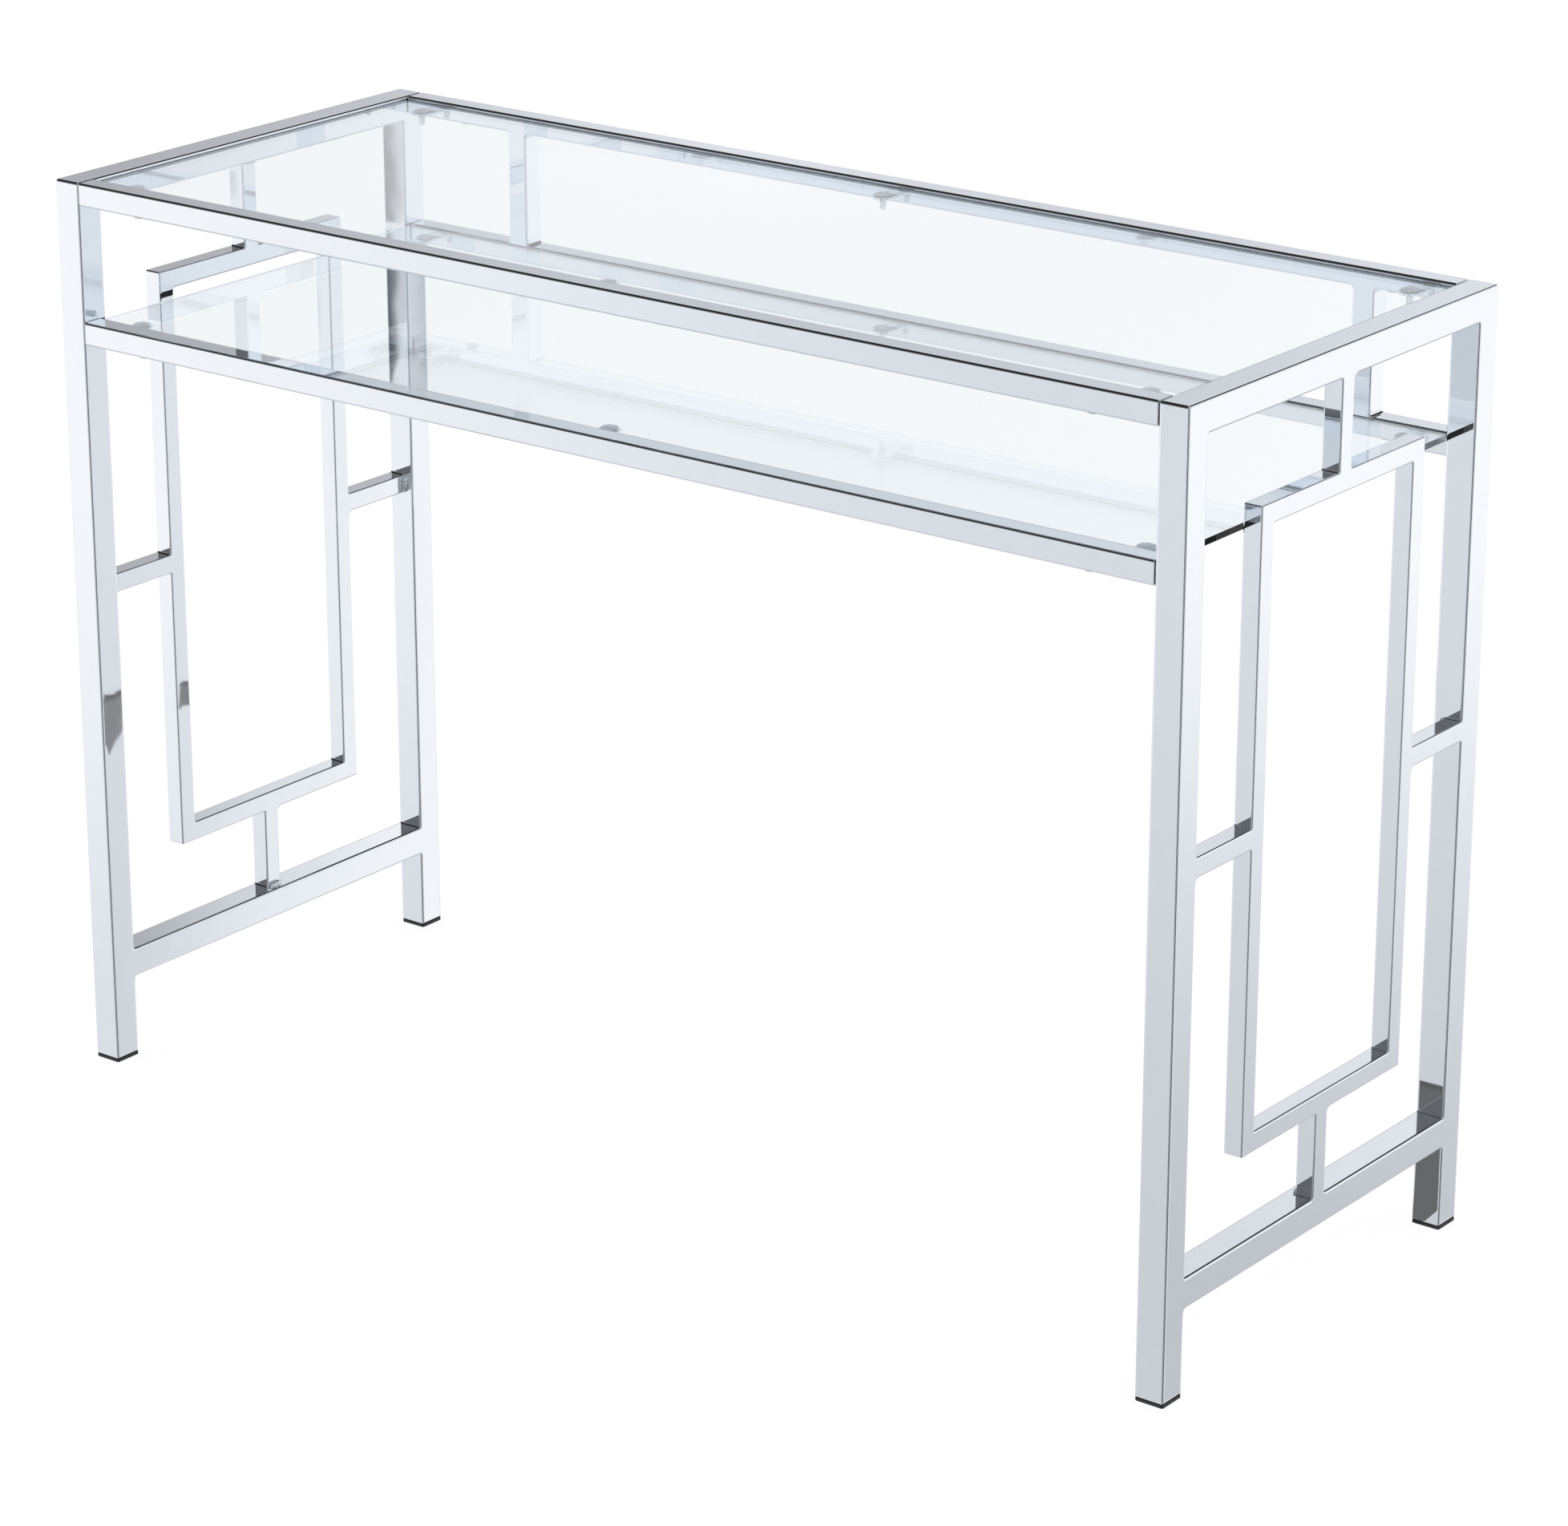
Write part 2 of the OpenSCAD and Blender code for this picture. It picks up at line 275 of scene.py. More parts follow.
# ---- node helpers ----

def node(tree, kind, inputs=None, **settings):
    """A node with its settings and inputs; an input is a value or another node's socket."""
    made = tree.nodes.new(kind)
    for key, value in settings.items():
        setattr(made, key, value)
    for key, value in (inputs or {}).items():
        if isinstance(value, bpy.types.NodeSocket):
            tree.links.new(value, made.inputs[key])
        else:
            made.inputs[key].default_value = value
    return made


def maths(tree, operation, a, b=0.0):
    return node(tree, "ShaderNodeMath", {0: a, 1: b}, operation=operation).outputs[0]


def step(tree, value, start, end, low=0.0, high=1.0):
    """Goes smoothly from low to high as value goes from start to end."""
    return node(tree, "ShaderNodeMapRange",
                {"Value": value, "From Min": start, "From Max": end,
                 "To Min": low, "To Max": high},
                interpolation_type="SMOOTHSTEP").outputs[0]


def at_least(tree, count, least):
    """1 where a whole number reaches the least one, and otherwise 0."""
    return step(tree, count, least - 0.6, least - 0.4)


def mix(tree, factor, a, b):
    made = node(tree, "ShaderNodeMix", {0: factor}, data_type="RGBA")
    for socket, value in ((made.inputs[6], a), (made.inputs[7], b)):
        if isinstance(value, bpy.types.NodeSocket):
            tree.links.new(value, socket)
        else:
            socket.default_value = value
    return made.outputs[2]


def ramp(tree, factor, stops):
    """A colour ramp from (position, value or colour) stops."""
    made = node(tree, "ShaderNodeValToRGB", {"Fac": factor})
    elements = made.color_ramp.elements
    while len(elements) > 1:
        elements.remove(elements[-1])
    for i, (position, colour) in enumerate(stops):
        element = elements[0] if i == 0 else elements.new(position)
        element.position = position
        if not isinstance(colour, (list, tuple)):
            colour = (colour, colour, colour)
        element.color = (*colour, 1)
    return made.outputs["Color"]


def new_material(name):
    material = bpy.data.materials.new(name)
    material.use_nodes = True
    tree = material.node_tree
    tree.nodes.clear()
    return material, tree


def output(tree, shader):
    node(tree, "ShaderNodeOutputMaterial", {"Surface": shader})


def noise(tree, scale, detail=2.0, stretch=(1, 1, 1)):
    """Noise in the frame's own metres."""
    coordinates = node(tree, "ShaderNodeTexCoord").outputs["Object"]
    mapped = node(tree, "ShaderNodeMapping", {"Vector": coordinates, "Scale": stretch})
    return node(tree, "ShaderNodeTexNoise",
                {"Vector": mapped.outputs[0], "Scale": scale, "Detail": detail}).outputs["Fac"]


# ---- materials ----

def chrome(name, colour, rough, ripple, ripple_scale, specks):
    """Bright plate: a long ripple in the tube wall, fine polishing haze and a few specks."""
    material, tree = new_material(name)
    haze = noise(tree, 90.0, 4.0)
    speck = step(tree, noise(tree, 900.0, 1.0), 0.74, 0.80)
    roughness = maths(tree, "ADD", maths(tree, "MULTIPLY", speck, specks),
                      step(tree, haze, 0.3, 0.7, rough * 0.8, rough * 1.2))
    wall = node(tree, "ShaderNodeBump",
                {"Height": noise(tree, ripple_scale, 1.0), "Strength": ripple,
                 "Distance": 0.001})
    tint = ramp(tree, haze, [(0.3, [c * 0.985 for c in colour]), (0.7, colour)])
    surface = node(tree, "ShaderNodeBsdfPrincipled",
                   {"Base Color": tint, "Metallic": 1.0, "Roughness": roughness,
                    "Normal": wall.outputs[0]})
    output(tree, surface.outputs[0])
    return material


def glass():
    """Clear float glass with a slight green-blue cast and the faintest roll wave. Its ground
    edges are frosted where they face a rail, all but the shelf's free left and right ones."""
    material, tree = new_material("clear_glass")
    low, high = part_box("glass_top")
    place = node(tree, "ShaderNodeTexCoord").outputs["Object"]
    x, y, z = node(tree, "ShaderNodeSeparateXYZ", {0: place}).outputs
    at_end = step(tree, maths(tree, "ABSOLUTE", x), high.x - PANE_EDGE, high.x - PANE_EDGE / 3)
    at_end = maths(tree, "MULTIPLY", at_end, step(tree, z, low.z - LEG, low.z - LEG / 2))
    at_rail = step(tree, maths(tree, "ABSOLUTE", y), high.y - PANE_EDGE, high.y - PANE_EDGE / 3)
    ground = maths(tree, "MAXIMUM", at_end, at_rail)
    wave = node(tree, "ShaderNodeBump",
                {"Height": noise(tree, 9.0, 1.0), "Strength": 0.02, "Distance": 0.001})
    cast = ramp(tree, noise(tree, 5.0, 1.0),
                [(0.3, (0.945, 0.975, 0.992)), (0.7, (0.952, 0.980, 0.995))])
    surface = node(tree, "ShaderNodeBsdfPrincipled",
                   {"Base Color": cast, "Roughness": 0.0, "IOR": 1.3,
                    "Transmission Weight": 1.0, "Normal": wave.outputs[0]})
    clear = node(tree, "ShaderNodeBsdfTransparent", {"Color": (0.95, 0.97, 0.97, 1)})
    path = node(tree, "ShaderNodeLightPath")
    both = node(tree, "ShaderNodeMixShader",
                {0: path.outputs["Is Shadow Ray"], 1: surface.outputs[0], 2: clear.outputs[0]})
    edge = node(tree, "ShaderNodeBsdfDiffuse", {"Color": (0.94, 0.97, 0.99, 1)})
    whole = node(tree, "ShaderNodeMixShader",
                 {0: ground, 1: both.outputs[0], 2: edge.outputs[0]})
    output(tree, whole.outputs[0])
    return material


PAD_CLEAR = 0.4                 # share of the light that goes straight through a pad


def clear_plastic():
    """Soft clear pads, a little cloudy."""
    material, tree = new_material("clear_pad")
    cloud = noise(tree, 260.0, 3.0)
    roughness = step(tree, cloud, 0.3, 0.8, 0.10, 0.25)
    colour = ramp(tree, cloud, [(0.3, (0.93, 0.95, 0.965)), (0.7, (0.98, 0.99, 0.995))])
    surface = node(tree, "ShaderNodeBsdfPrincipled",
                   {"Base Color": colour, "Roughness": roughness, "IOR": 1.40,
                    "Transmission Weight": 0.55})
    clear = node(tree, "ShaderNodeBsdfTransparent", {"Color": (0.9, 0.92, 0.94, 1)})
    path = node(tree, "ShaderNodeLightPath")
    share = maths(tree, "MAXIMUM", path.outputs["Is Shadow Ray"], PAD_CLEAR)
    both = node(tree, "ShaderNodeMixShader",
                {0: share, 1: surface.outputs[0], 2: clear.outputs[0]})
    output(tree, both.outputs[0])
    return material


def black_plastic():
    """Moulded black caps with a fine spark texture."""
    material, tree = new_material("black_plastic")
    grain = noise(tree, 2200.0, 3.0)
    colour = ramp(tree, noise(tree, 300.0, 3.0),
                  [(0.3, (0.012, 0.012, 0.013)), (0.7, (0.022, 0.022, 0.023))])
    bump = node(tree, "ShaderNodeBump",
                {"Height": grain, "Strength": 0.35, "Distance": 0.0001})
    surface = node(tree, "ShaderNodeBsdfPrincipled",
                   {"Base Color": colour, "Roughness": step(tree, grain, 0.3, 0.7, 0.42, 0.6),
                    "Normal": bump.outputs[0]})
    output(tree, surface.outputs[0])
    return material


def steel(name, dark, light, rough):
    """Bare or zinc-plated steel with drawn streaks along the length."""
    material, tree = new_material(name)
    streak = noise(tree, 500.0, 4.0, (0.04, 1, 1))
    colour = ramp(tree, streak, [(0.3, dark), (0.7, light)])
    bump = node(tree, "ShaderNodeBump",
                {"Height": streak, "Strength": 0.15, "Distance": 0.0001})
    surface = node(tree, "ShaderNodeBsdfPrincipled",
                   {"Base Color": colour, "Metallic": 1.0,
                    "Roughness": step(tree, streak, 0.3, 0.7, rough, rough + 0.12),
                    "Normal": bump.outputs[0]})
    output(tree, surface.outputs[0])
    return material


MATERIALS = {
    "tube_chrome": chrome("tube_chrome", (0.935, 0.95, 0.965), 0.025, 0.05, 24.0, 0.06),
    "weld_chrome": chrome("weld_chrome", (0.92, 0.93, 0.945), 0.05, 0.35, 300.0, 0.10),
    "plated_tab": chrome("plated_tab", (0.90, 0.92, 0.935), 0.06, 0.10, 120.0, 0.10),
    "clear_glass": glass(),
    "clear_pad": clear_plastic(),
    "black_plastic": black_plastic(),
    "peg_steel": steel("peg_steel", (0.36, 0.36, 0.37), (0.5, 0.5, 0.51), 0.3),
    "screw_steel": steel("screw_steel", (0.5, 0.51, 0.53), (0.66, 0.67, 0.69), 0.22),
}


def place_piece(piece, slot, *nodes):
    """Gives a finished piece the material named by slot, hangs it under the body and hides the
    CAD nodes it stands for.
    """
    piece.data.materials.clear()
    piece.data.materials.append(MATERIALS[slot])
    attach(piece, BODY)
    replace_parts(piece, *nodes)


# ---- end frames ----

def end_place(side):
    """Outlines of an end frame are in (y, z), with its outer face at +w on either side."""
    sign = SIDES[side]
    return lambda u, v, w: Vector((sign * w, u, v))


def outer_frame(side):
    """The two legs, the top rail and the bottom rail, ground into one."""
    outside = outline([
        (-HALF_D, LEG_FOOT_Z, CORNER), (-LEG_Y, LEG_FOOT_Z, CORNER),
        (-LEG_Y, LOW_RAIL_Z0, FILLET), (LEG_Y, LOW_RAIL_Z0, SHARP),
        (LEG_Y, LEG_FOOT_Z, CORNER), (HALF_D, LEG_FOOT_Z, CORNER),
        (HALF_D, TOP_Z, TOP_CORNER), (-HALF_D, TOP_Z, TOP_CORNER)])
    opening = box_loop(-LEG_Y, LOW_RAIL_Z1, LEG_Y, TOP_RAIL_Z0, SHARP, hole=True)
    piece = plate(side + "_outer_frame", [outside, opening], LEG_X, HALF_W, end_place(side))
    place_piece(piece, "tube_chrome", side + "_front_leg", side + "_rear_leg",
                side + "_top_rail", side + "_bottom_rail")


# fillet radii of each stub, anticlockwise seen with the back to the right: at the rectangle,
# at the wall, at the wall again on the far side, and back at the rectangle
STUB_FILLETS = {
    "lower": (SHARP, SHARP, SHARP, FULL),
    "rear": (FULL, SHARP, SHARP, SHARP),
    "upper": (SHARP, FULL, SHARP, SHARP),
    "front": (SHARP, SHARP, FULL, SHARP),
}


def stub(middle, out, half, base, wall, radii, edge):
    """Outline points of a stub that leaves a bar at distance base from the middle and runs
    into a wall at distance wall, far enough past the wall's rounded edge to lie flush."""
    along = Vector((-out.y, out.x))

    def at(s, r):
        return middle + along * s + out * r

    first, second, third, fourth = radii
    made = bend(at(-half, base), along, out, first)
    made += bend(at(-half, wall), out, -along, second)
    made += fixed(at(-half - second, wall + edge), out)
    made += fixed(at(half + third, wall + edge), out)
    made += bend(at(half, wall), -along, -out, third)
    made += bend(at(half, base), -out, along, fourth)
    return made


def inner_frame(side):
    """The inner rectangle and its four stubs, ground into one and flush with the outside."""
    middle = Vector((0, RECT_MID))
    half_tall = RECT_Z1 - RECT_MID
    walls = {"lower": RECT_MID - LOW_RAIL_Z1, "rear": LEG_Y,
             "upper": TOP_RAIL_Z0 - RECT_MID, "front": LEG_Y}
    bases = {"lower": half_tall, "rear": RECT_Y, "upper": half_tall, "front": RECT_Y}
    outside = []
    out = Vector((0, -1))
    for name, radii in STUB_FILLETS.items():
        outside += stub(middle, out, BAR / 2, bases[name], walls[name], radii, EDGE)
        along = Vector((-out.y, out.x))
        reach = RECT_Y if out.x == 0 else half_tall
        outside += bend(middle + along * reach + out * bases[name], along, -out, CORNER)
        out = along
    window = box_loop(-RECT_Y + BAR, RECT_Z0 + BAR, RECT_Y - BAR, RECT_Z1 - BAR, SHARP,
                      hole=True)
    piece = plate(side + "_inner_frame", [outside, window], BAR_X, HALF_W, end_place(side),
                  BAR_EDGE)
    bars = [side + "_inner_" + name + "_bar" for name in ("top", "bottom", "front", "rear")]
    stubs = [side + "_" + name + "_stub" for name in STUB_FILLETS]
    place_piece(piece, "tube_chrome", *bars, *stubs)


BEAD = 2.6 * MM                 # radius of the weld beads left on the inner side
BEAD_SUNK = BEAD * 0.35         # how far their middle lies inside the tubes
BEAD_RINGS = 28
BEAD_SIDES = 14
BEAD_RIPPLES = 4.5              # weld ripples along a bead
BEAD_WOBBLE = 41                # a finer unevenness, in radians along a bead


def bead(bm, start, end, radius):
    """A weld bead, a slightly rippled and tapered ridge from start to end."""
    along = end - start
    across = along.orthogonal().normalized()
    other = along.normalized().cross(across)
    rows = []
    for i in range(BEAD_RINGS + 1):
        t = i / BEAD_RINGS
        taper = math.sin(math.pi * min(max(t, 0.02), 0.98)) ** 0.28
        ripple = (1 + 0.07 * math.sin(2 * math.pi * BEAD_RIPPLES * t)
                  + 0.03 * math.sin(BEAD_WOBBLE * t))
        here = radius * taper * ripple
        rows.append([bm.verts.new(start + along * t
                                  + across * here * math.cos(2 * math.pi * k / BEAD_SIDES)
                                  + other * here * math.sin(2 * math.pi * k / BEAD_SIDES))
                     for k in range(BEAD_SIDES)])
    for upper, lower in zip(rows, rows[1:]):
        for k in range(BEAD_SIDES):
            j = (k + 1) % BEAD_SIDES
            bm.faces.new((upper[k], upper[j], lower[j], lower[k]))
    bm.faces.new(rows[0])
    bm.faces.new(rows[-1])


def weld_beads(side):
    """The beads where the stubs meet the legs and end rails, on the inner side only."""
    place = end_place(side)
    w = BAR_X - BEAD_SUNK
    half = BAR / 2 - BAR_EDGE / 2
    spots = []
    for s, wall in ((-1, LOW_RAIL_Z1), (1, TOP_RAIL_Z0)):
        v = wall - s * BEAD_SUNK
        spots.append((place(-half, v, w), place(half, v, w)))
    for s in (-1, 1):
        u = s * (LEG_Y - BEAD_SUNK)
        spots.append((place(u, RECT_MID - half, w), place(u, RECT_MID + half, w)))
    bm = bmesh.new()
    for start, end in spots:
        bead(bm, start, end, BEAD)
    place_piece(finish_mesh(side + "_weld_beads", bm), "weld_chrome", side + "_welds")


# ---- long rails and posts ----

END_GAP = 0.4 * MM              # how far the rail ends stand back, for the dark seam
END_EDGE = 0.4 * MM

def tube_loops(u, v, width, edge):
    """Outer and inner outline of a square tube whose lowest corner is (u, v)."""
    return [box_loop(u, v, u + width, v + width, edge),
            box_loop(u + WALL, v + WALL, u + width - WALL, v + width - WALL,
                     edge - WALL, hole=True)]


def long_rail(name):
    """A long rail as an open tube, its ends a little short of the legs."""
    low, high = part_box(name)
    loops = tube_loops(low.y, low.z, RAIL, RAIL_EDGE)
    piece = plate(name + "_tube", loops, low.x + END_GAP, high.x - END_GAP,
                  lambda u, v, w: Vector((w, u, v)), END_EDGE)
    place_piece(piece, "tube_chrome", name)


def back_post(name):
    """A post with its ends ground flush into the two back rails."""
    low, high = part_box(name)
    x = (low.x + high.x) / 2
    half = (high.x - low.x) / 2
    middle = Vector((x, (low.z + high.z) / 2))
    wall = (high.z - low.z) / 2
    loop = []
    for out in (Vector((0, -1)), Vector((0, 1))):
        along = Vector((-out.y, out.x))
        corner = middle + out * wall
        loop += bend(corner - along * half, out, -along, FILLET)
        loop += fixed(corner - along * (half + FILLET) + out * RAIL_EDGE, out)
        loop += fixed(corner + along * (half + FILLET) + out * RAIL_EDGE, out)
        loop += bend(corner + along * half, -along, -out, FILLET)
    piece = plate(name + "_tube", [loop], low.y, high.y, lambda u, v, w: Vector((u, w, v)),
                  RAIL_EDGE)
    place_piece(piece, "tube_chrome", name)
    return piece


# ---- glass, pads and tabs ----

PANE_CORNER = 2.5 * MM


def flat(u, v, w):
    return Vector((u, v, w))


def pane(name):
    """A sheet of glass with rounded corners and ground edges."""
    low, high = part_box(name)
    piece = plate(name + "_pane", [box_loop(low.x, low.y, high.x, high.y, PANE_CORNER)],
                  low.z, high.z, flat, PANE_EDGE)
    place_piece(piece, "clear_glass", name)


PAD_R = 7.0 * MM
PAD_T = 2.5 * MM
STEM_R = 2.5 * MM
STEM_L = 11.0 * MM              # from the underside of the pad
BARB = 0.6 * MM                 # how far the barb stands out round the stem
TAB_T = 2.0 * MM
TAB_W = 18.0 * MM
TAB_CORNER = 0.2 * MM
TAB_EDGE = 0.35 * MM
TAB_ROUND = TAB_W / 2 - 0.01 * MM


def pad_spots(name):
    """The six pads' middles along x and y, and the height of their tops."""
    low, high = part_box(name)
    for x in (low.x + PAD_R, (low.x + high.x) / 2, high.x - PAD_R):
        for y in (low.y + PAD_R, high.y - PAD_R):
            yield x, y, high.z


def pad_set(name):
    """Clear pads: a soft disc with a rolled rim over the tab, and its barbed stem below."""
    rim = [(PAD_R * math.sin(a), PAD_T / 2 * (math.cos(a) - 1))
           for a in (math.radians(50 + 10 * k) for k in range(9))]
    top = -0.1 * MM
    disc = [(0, top), (PAD_R * 0.62, top), *rim, (0, rim[-1][1])]
    under = -PAD_T - TAB_T - 0.05 * MM
    stem = [(0, under), (STEM_R + BARB, under), (STEM_R + BARB, under - 0.7 * MM),
            (STEM_R, under - 2.1 * MM), (STEM_R * 0.9, -PAD_T - STEM_L + 1.2 * MM),
            (STEM_R * 0.5, -PAD_T - STEM_L), (0, -PAD_T - STEM_L)]
    bm = bmesh.new()
    for x, y, z in pad_spots(name):
        lathe(bm, disc, x, y, z)
        lathe(bm, stem, x, y, z)
    place_piece(finish_mesh(name.rstrip("s") + "_set", bm, sharp=40), "clear_pad", name)


def tab_set(name, pads):
    """Small plated tabs with a round end, each holding one pad off its rail."""
    low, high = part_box(name)
    parts = []
    for x, y, _ in pad_spots(pads):
        s = 1 if y > 0 else -1
        wall = s * (HALF_D - RAIL)
        corners = [(x - TAB_W / 2, wall, TAB_CORNER), (x + TAB_W / 2, wall, TAB_CORNER),
                   (x + TAB_W / 2, y - s * TAB_W / 2, TAB_ROUND),
                   (x - TAB_W / 2, y - s * TAB_W / 2, TAB_ROUND)]
        loop = outline(corners if s < 0 else corners[::-1])
        parts.append(plate(name, [loop], low.z, high.z, flat, TAB_EDGE))
    place_piece(joined(name + "_plates", parts), "plated_tab", name)


def joined(name, parts):
    """One piece made of several finished ones."""
    bpy.ops.object.select_all(action="DESELECT")
    for part in parts:
        part.select_set(True)
    bpy.context.view_layer.objects.active = parts[0]
    bpy.ops.object.join()
    parts[0].name = parts[0].data.name = name
    return parts[0]


# ---- feet ----

CAP_LAND = 4.0 * MM             # width of the rim that stands on the floor
CAP_CORNER = 2.0 * MM
SOLE_CORNER = 1.5 * MM
SOLE_UP = 1.1 * MM              # how far the sole is recessed
GATE_R = 2.6 * MM               # the moulding's gate mark in the middle of the sole


def foot_cap(name):
    """A moulded cap: a rim under the leg round a recessed sole."""
    low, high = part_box(name)
    x = (low.x + high.x) / 2
    y = (low.y + high.y) / 2

    def square(inward, radius, hole=False):
        half = LEG / 2 - inward
        return box_loop(x - half, y - half, x + half, y + half, radius, hole)

    rim = plate(name, [square(0, CAP_CORNER), square(CAP_LAND, SOLE_CORNER, hole=True)],
                low.z, LEG_FOOT_Z, flat, 0.6 * MM)
    sole = plate(name, [square(CAP_LAND / 2, SOLE_CORNER)],
                 low.z + SOLE_UP, LEG_FOOT_Z, flat, 0.3 * MM)
    bm = bmesh.new()
    lathe(bm, [(0, 0.5 * MM), (GATE_R - 0.4 * MM, 0.5 * MM), (GATE_R, 0.7 * MM),
               (GATE_R, 1.6 * MM), (0, 1.6 * MM)], x, y, low.z, steps=24)
    gate = finish_mesh(name, bm, sharp=30)
    place_piece(joined(name + "_plug", [rim, sole, gate]), "black_plastic", name)


# ---- the whole table ----

for side_name in SIDES:
    outer_frame(side_name)
    inner_frame(side_name)
    weld_beads(side_name)
for rail_name in ("front_top_rail", "back_top_rail", "front_shelf_rail", "back_shelf_rail"):
    long_rail(rail_name)
back_post("left_back_post")
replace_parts(back_post("right_back_post"), "post_welds")
for level in ("top", "shelf"):
    pane("glass_" + level)
    pad_set(level + "_pads")
    tab_set(level + "_pad_tabs", level + "_pads")
for side_name in SIDES:
    for end_name in ("front", "rear"):
        foot_cap(side_name + "_" + end_name + "_foot_cap")
for node_name, slot_name in (("left_pegs", "peg_steel"), ("right_pegs", "peg_steel"),
                             ("rail_screws", "screw_steel")):
    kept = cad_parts[node_name]
    kept.data.materials.clear()
    kept.data.materials.append(MATERIALS[slot_name])


# ---- floor, studio and camera ----

FLOOR_GLOW = 0.92               # share of the floor's white that no shadow dims
FLOOR_WHITE = 1.015             # brightness of that share
FLOOR_RADIUS = 30.0             # metres


def floor():
    """A plain white floor. Reflections pass through it and show the studio below."""
    bm = bmesh.new()
    bmesh.ops.create_circle(bm, cap_ends=True, segments=96, radius=FLOOR_RADIUS)
    piece = finish_mesh("floor", bm)
    material, tree = new_material("white_floor")
    surface = node(tree, "ShaderNodeBsdfDiffuse", {"Color": (0.995, 0.995, 0.995, 1)})
    glow = node(tree, "ShaderNodeEmission", {"Color": (1, 1, 1, 1), "Strength": FLOOR_WHITE})
    both = node(tree, "ShaderNodeMixShader",
                {0: FLOOR_GLOW, 1: surface.outputs[0], 2: glow.outputs[0]})
    clear = node(tree, "ShaderNodeBsdfTransparent")
    path = node(tree, "ShaderNodeLightPath").outputs
    reflected = at_least(tree, path["Glossy Depth"], 1)
    shown = node(tree, "ShaderNodeMixShader",
                 {0: reflected, 1: both.outputs[0], 2: clear.outputs[0]})
    output(tree, shown.outputs[0])
    piece.data.materials.append(material)


def reflection_card(name, low, high, direction, start, end, points, through_glass=False):
    """A flat sheet on the floor that only reflections see, glowing dark or pale as a painted
    reflection in the chrome, its tone going from low to high between two distances along a
    direction. Some show only in what is seen through glass."""
    bm = bmesh.new()
    bm.faces.new([bm.verts.new((x * MM, y * MM, 0)) for x, y in points])
    piece = finish_mesh(name, bm)
    material, tree = new_material(name)
    place = node(tree, "ShaderNodeTexCoord").outputs["Object"]
    along = node(tree, "ShaderNodeVectorMath", {0: place, 1: (*direction, 0)},
                 operation="DOT_PRODUCT").outputs["Value"]
    tone = step(tree, along, start * MM, end * MM, low, high)
    # painted reflection: a glow that only rays reflected by the chrome and glass see
    glow = node(tree, "ShaderNodeEmission", {"Color": (0.94, 0.96, 1, 1), "Strength": tone})
    shown = glow.outputs[0]
    if through_glass:
        path = node(tree, "ShaderNodeLightPath").outputs
        clear = node(tree, "ShaderNodeBsdfTransparent")
        shown = node(tree, "ShaderNodeMixShader",
                     {0: at_least(tree, path["Transmission Depth"], 1),
                      1: clear.outputs[0], 2: shown}).outputs[0]
    output(tree, shown)
    piece.data.materials.append(material)
    for ray in ("camera", "diffuse", "transmission", "shadow"):
        setattr(piece, "visible_" + ray, False)


# painted reflections: glowing cards that only reflections see, toned to show as dark and pale
# patches in the chrome
# name, tone at the start and at the end, direction, start, end and corners, in mm, and
# whether it shows only through glass
PAINTED_REFLECTIONS = [
    ("right_card", 0.105, 0.148, (0, 1), -62, -50,
     [(374, -66), (406, -66), (522, 147), (526, 186), (488, 186)]),
    ("left_leg_card", 0.27, 0.08, (1, 0), 138, 160,
     [(67, 367), (55, 357), (51, 359), (30, 341), (67, 395), (76, 406), (162, 496), (160, 484),
      (156, 477), (158, 472), (163, 468), (154, 460), (156, 452)]),
    ("left_bar_card", 0.25, 0.10, (1, 0), 96, 112,
     [(68, 497), (52, 479), (58, 492), (56, 497), (47, 497), (104, 555), (112, 550),
      (110, 541)]),
    ("front_card", 0.0, 0.80, (0.745, -0.667), -527, -514,
     [(-2282, -1712), (-1752, -1130), (-1722, -1130), (-1940, -1420), (-2208, -1712)],
     True),
    ("far_card", 0.24, 0.70, (0.745, -0.667), -528, -506,
     [(-2320, -1748), (-2720, -2190), (-2640, -2225), (-2242, -1748)], True),
    ("rear_card", 0.66, 0.42, (-0.733, 0.68), 550, 575,
     [(1192, 2066), (1192, 2136), (640, 1545), (640, 1476)], True),
]

# brightness of the studio by heading, in degrees from +Y towards +X: below the horizon, far
# below it, and above it at three heights, which share all but their middles
LOW_BAND = [
    (-180, 0.82), (-164, 0.74), (-152, 0.735), (-150, 0.745), (-147, 0.765), (-145.8, 0.745),
    (-142.6, 0.79), (-140.2, 0.85), (-138, 0.90), (-136, 0.925), (-134.5, 0.955), (-120, 0.94),
    (-100, 0.90), (-60, 0.85), (0, 0.85), (25, 0.95), (29.7, 0.97), (36, 0.97), (41.6, 0.96),
    (42.5, 0.87), (44.4, 0.81), (45.2, 0.765), (50, 0.75), (80, 0.75), (97, 0.62), (101, 0.02),
    (119, 0.02), (124, 0.34), (156, 0.34), (160, 0.02), (168, 0.02), (173, 0.80)]
DEEP_BAND = [
    (-180, 0.65), (-152, 0.61), (-150, 0.63), (-147, 0.65), (-143, 0.66), (-138, 0.62),
    (-134.6, 0.72), (-100, 0.65), (0, 0.55), (25, 0.58), (33, 0.57), (36, 0.62), (41, 0.94),
    (42.8, 0.94), (43.9, 0.85), (44.8, 0.74), (45.2, 0.60), (60, 0.55), (97, 0.45),
    (101, 0.02), (119, 0.02), (124, 0.30), (156, 0.30), (160, 0.02), (168, 0.02), (173, 0.60)]
HIGH_LEFT = [(-180, 0.30), (-162, 0.30), (-154, 0.14), (-118, 0.14), (-100, 0.30), (-62, 0.35)]
HIGH_RIGHT = [(45, 0.85), (75, 0.50), (120, 0.45), (165, 0.30)]
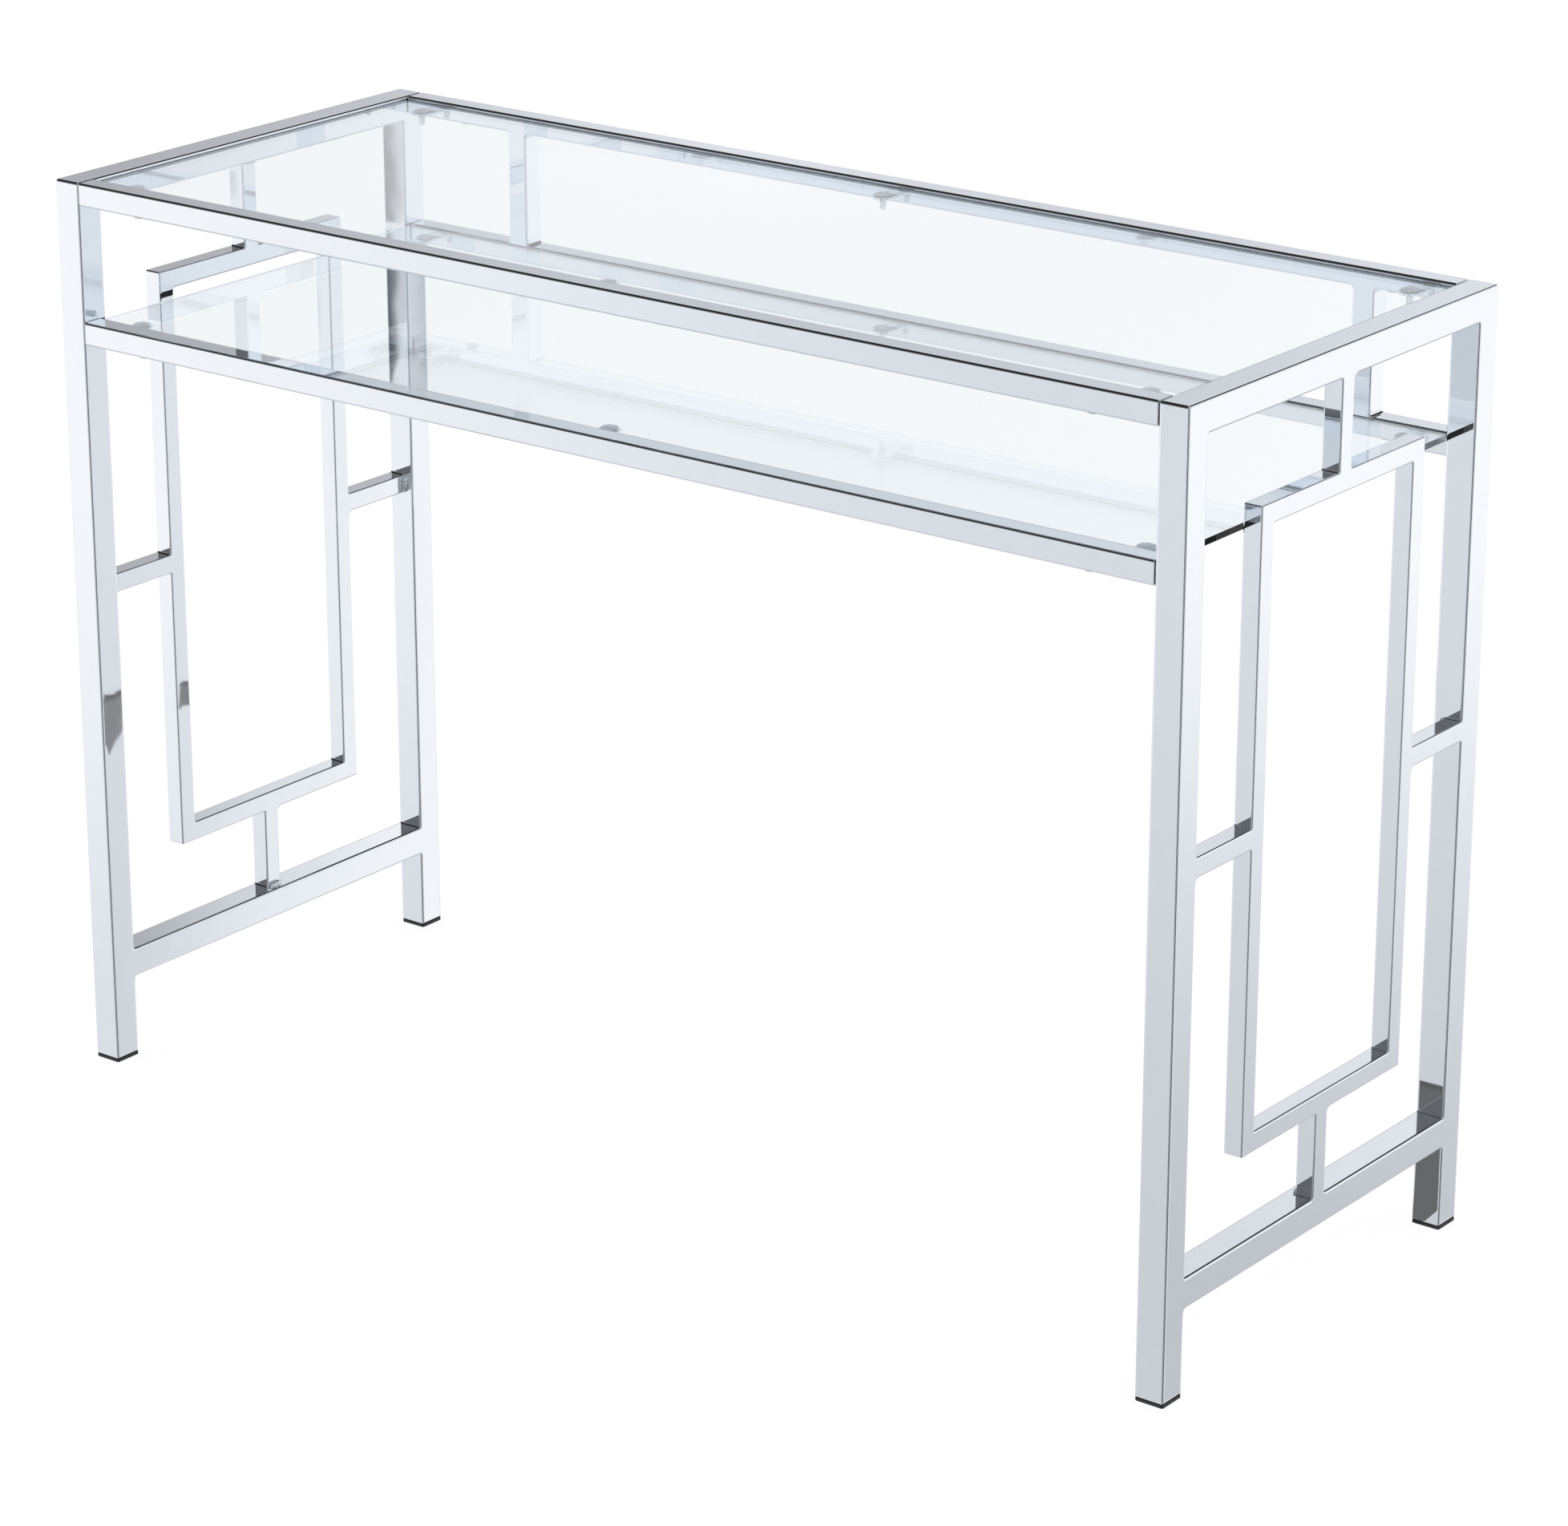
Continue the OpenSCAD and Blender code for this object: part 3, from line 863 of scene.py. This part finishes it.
HIGH_MIDDLES = [
    [(-46, 0.44), (-45, 0.45), (-43.5, 0.51), (-42.1, 0.575), (-40.9, 0.68), (-38.4, 0.80),
     (-36.2, 0.775), (-33.9, 0.68), (-30.8, 0.775), (-27, 0.80)],
    [(-46, 0.44), (-44.6, 0.445), (-42, 0.50), (-39.7, 0.60), (-37.4, 0.58), (-34.1, 0.64),
     (-32.6, 0.67), (-31.4, 0.72), (-30.2, 0.78), (-27, 0.80)],
    [(-46, 0.45), (-44.9, 0.46), (-43.95, 0.48), (-43.4, 0.86), (-42.5, 0.90), (-40, 0.88),
     (-36, 0.80), (-33, 0.73), (-32, 0.765), (-30.5, 0.82), (-27, 0.85)],
]
HORIZON_BAND = [(-180, 0), (-70, 0), (-60, 1), (-27, 1), (-20, 0), (179, 0)]
CEILING_BAND = [(-180, 0.02), (50, 0.02), (75, 0.30), (150, 0.30), (178, 0.02)]
STUDIO_LIGHT = 1.06
GLASS_TINT = (0.71, 0.77, 0.86, 1)      # what a second reflection shows through the glass
RIM_TONE = (0.04, 0.04, 0.04, 1)
TOP_TONE = (0.8, 0.8, 0.8, 1)

# heights in degrees over which one part of the studio goes over into the next
DEEP_HEIGHTS = (-16.5, -26)
HORIZON_HEIGHTS = (-5, 2)
FIRST_HIGH_HEIGHTS = (13.2, 14.7)
SECOND_HIGH_HEIGHTS = (16.5, 19.5)
RIM_LOW_HEIGHTS = (-9, -5)
RIM_HIGH_HEIGHTS = (12, 9)
CEILING_HEIGHTS = (26, 31)
TOP_HEIGHTS = (64, 72)


def band(tree, turn, stops):
    """Brightness by heading, from stops in degrees."""
    return ramp(tree, turn, [(degrees / 360 + 0.5, value) for degrees, value in stops])


def studio():
    """A white surround for what is seen directly, and soft panels for what is reflected."""
    world = bpy.data.worlds.new("studio")
    bpy.context.scene.world = world
    world.use_nodes = True
    tree = world.node_tree
    tree.nodes.clear()
    direction = node(tree, "ShaderNodeTexCoord").outputs["Generated"]
    parts = node(tree, "ShaderNodeSeparateXYZ", {0: direction}).outputs
    height = maths(tree, "MULTIPLY", maths(tree, "ARCSINE", parts["Z"]), 180 / math.pi)
    heading = maths(tree, "MULTIPLY", maths(tree, "ARCTAN2", parts["X"], parts["Y"]),
                    0.5 / math.pi)
    turn = maths(tree, "ADD", heading, 0.5)
    low = mix(tree, step(tree, height, *DEEP_HEIGHTS), band(tree, turn, LOW_BAND),
              band(tree, turn, DEEP_BAND))
    first, second, third = (band(tree, turn, HIGH_LEFT + middle + HIGH_RIGHT)
                            for middle in HIGH_MIDDLES)
    high = mix(tree, step(tree, height, *FIRST_HIGH_HEIGHTS), first, second)
    high = mix(tree, step(tree, height, *SECOND_HIGH_HEIGHTS), high, third)
    tone = mix(tree, step(tree, height, *HORIZON_HEIGHTS), low, high)
    rim = maths(tree, "MULTIPLY", band(tree, turn, HORIZON_BAND),
                maths(tree, "MULTIPLY", step(tree, height, *RIM_LOW_HEIGHTS),
                      step(tree, height, *RIM_HIGH_HEIGHTS)))
    tone = mix(tree, rim, tone, RIM_TONE)
    tone = mix(tree, step(tree, height, *CEILING_HEIGHTS), tone,
               band(tree, turn, CEILING_BAND))
    tone = mix(tree, step(tree, height, *TOP_HEIGHTS), tone, TOP_TONE)
    tinted = ramp(tree, tone, [(0.0, (0, 0, 0)), (0.8, (0.728, 0.756, 0.80)),
                               (1.0, (0.98, 0.99, 1.0))])
    path = node(tree, "ShaderNodeLightPath").outputs
    # plate_ray is 1 for what the chrome reflects, and 0 for what is seen directly, through
    # the glass or mirrored by the glass alone
    mirrored = maths(tree, "MULTIPLY", path["Is Singular Ray"],
                     maths(tree, "SUBTRACT", 1.0, path["Is Transmission Ray"]))
    plate_ray = at_least(tree, maths(tree, "SUBTRACT", path["Glossy Depth"], mirrored), 1)
    # behind_glass is 1 below the ceiling where light is reflected twice and passes the glass
    behind_glass = maths(tree, "MULTIPLY", at_least(tree, path["Glossy Depth"], 2),
                         at_least(tree, path["Transmission Depth"], 1))
    behind_glass = maths(tree, "MULTIPLY", behind_glass,
                         step(tree, height, *reversed(CEILING_HEIGHTS)))
    tinted = mix(tree, behind_glass, tinted, GLASS_TINT)
    seen = mix(tree, plate_ray, (1, 1, 1, 1), tinted)
    background = node(tree, "ShaderNodeBackground",
                      {"Color": seen,
                       "Strength": step(tree, plate_ray, 0, 1, 1.0, STUDIO_LIGHT)})
    node(tree, "ShaderNodeOutputWorld", {"Surface": background.outputs[0]})
    world.cycles.sampling_method = "NONE"


CAMERA_PLACE = (2.4383, -3.1307, 1.7584)
CAMERA_TILT = 70.13             # degrees up from straight down
CAMERA_TURN = 37.53             # degrees from +Y towards -X


def camera():
    data = bpy.data.cameras.new("camera")
    data.sensor_width = 36.0
    data.lens = 121.2
    made = bpy.data.objects.new("camera", data)
    made.location = CAMERA_PLACE
    made.rotation_euler = (math.radians(CAMERA_TILT), 0.0, math.radians(CAMERA_TURN))
    bpy.context.scene.collection.objects.link(made)
    bpy.context.scene.camera = made


floor()
# the painted reflection cards
for card_values in PAINTED_REFLECTIONS:
    reflection_card(*card_values)
studio()
camera()
bpy.context.scene.view_settings.view_transform = "Standard"
